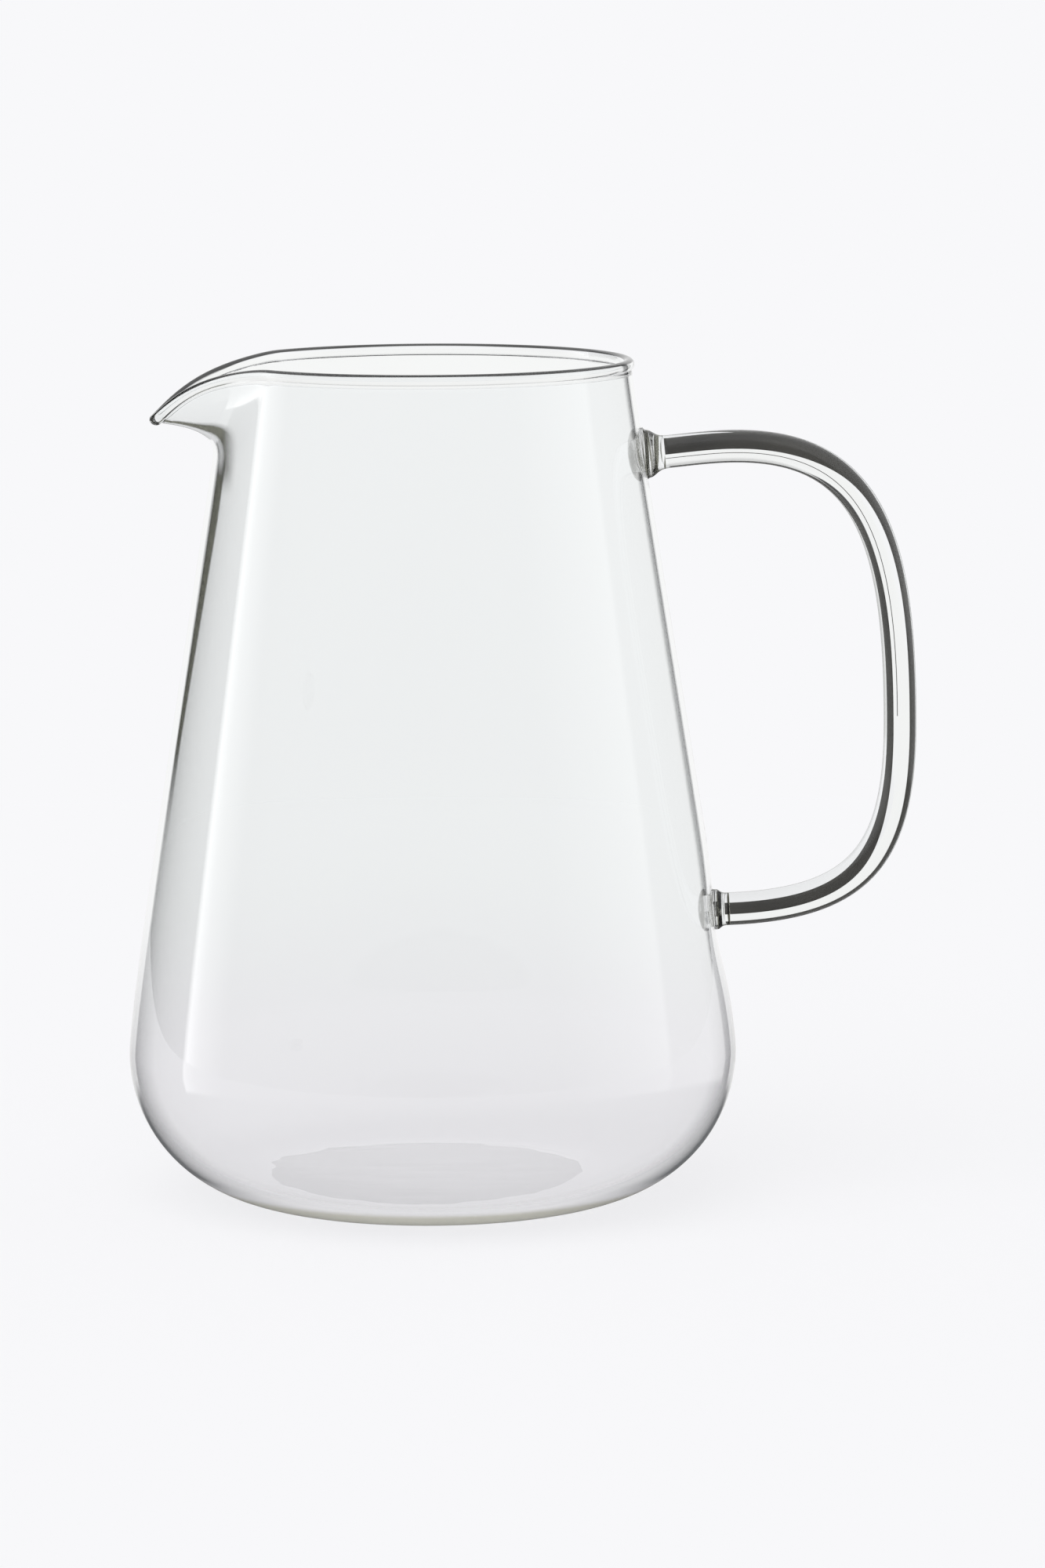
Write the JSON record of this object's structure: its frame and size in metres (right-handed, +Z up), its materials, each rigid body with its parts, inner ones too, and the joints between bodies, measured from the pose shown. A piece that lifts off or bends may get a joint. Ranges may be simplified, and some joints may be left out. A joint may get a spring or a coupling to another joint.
{
  "type": "glass coffee carafe",
  "caption": "Clear glass carafe with a round belly, straight leaning wall, beaded rim, pulled pouring spout and a bent glass rod handle welded to the wall.",
  "frame": {"origin": "middle of the flat base, on the surface that the carafe stands on", "axes": "+Z up along the vessel's axis, -X towards the spout, +X towards the handle"},
  "size_m": [0.1685, 0.13, 0.1792],
  "materials": {
    "vessel_glass": "clear blown glass, fire polished",
    "rod_glass": "clear solid glass rod, fire polished",
    "weld_glass": "clear melted glass, slightly uneven"
  },
  "bodies": {
    "root": {"vessel": "vessel_glass", "handle": "rod_glass", "upper_weld": "weld_glass", "lower_weld": "weld_glass"}
  },
  "joints": []
}
